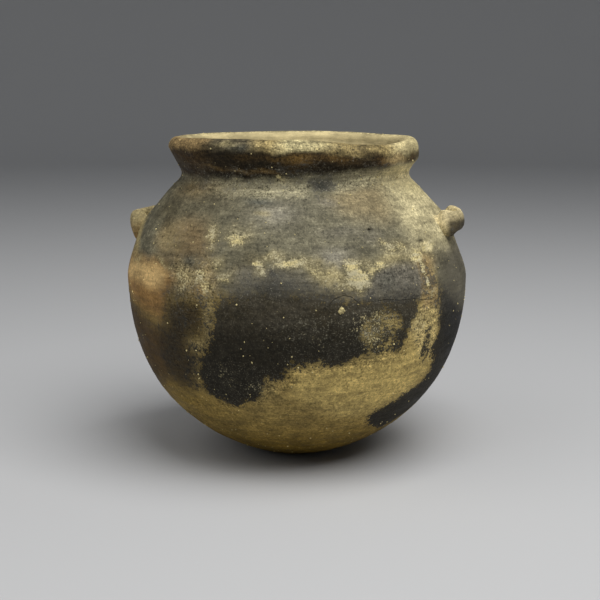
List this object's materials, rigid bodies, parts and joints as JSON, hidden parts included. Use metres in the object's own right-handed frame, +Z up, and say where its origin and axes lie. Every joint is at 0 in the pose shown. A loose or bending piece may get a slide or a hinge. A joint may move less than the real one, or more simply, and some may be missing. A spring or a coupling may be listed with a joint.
{
  "type": "two-lugged cooking jar",
  "caption": "Round-bottomed hand-built clay cooking jar with an everted rim and a pierced lug handle on each shoulder.",
  "frame": {"origin": "centre of the small flat worn under the base, on the jar's axis", "axes": "+Z up the jar's axis, +X through the right lug handle, -X through the left one"},
  "size_m": [0.1425, 0.14, 0.131],
  "materials": {
    "buff_clay": "matte, olive-buff fired clay, lightly scratched",
    "sooted_clay": "burnished, black with kitchen soot over buff clay",
    "smoked_clay": "half-matte, grey-brown smoke haze over buff clay",
    "scorched_rim": "half-matte, ochre clay scorched dark brown",
    "tan_clay": "matte, light tan clay with a sooty outer face"
  },
  "bodies": {
    "root": {"base_bowl": "buff_clay", "wall_coil_1": "sooted_clay", "wall_coil_2": "sooted_clay", "wall_coil_3": "sooted_clay", "wall_coil_4": "sooted_clay", "wall_coil_5": "smoked_clay", "wall_coil_6": "smoked_clay", "neck_coil": "smoked_clay", "rim_band": "scorched_rim", "right_lug": "tan_clay", "left_lug": "tan_clay"}
  },
  "joints": []
}
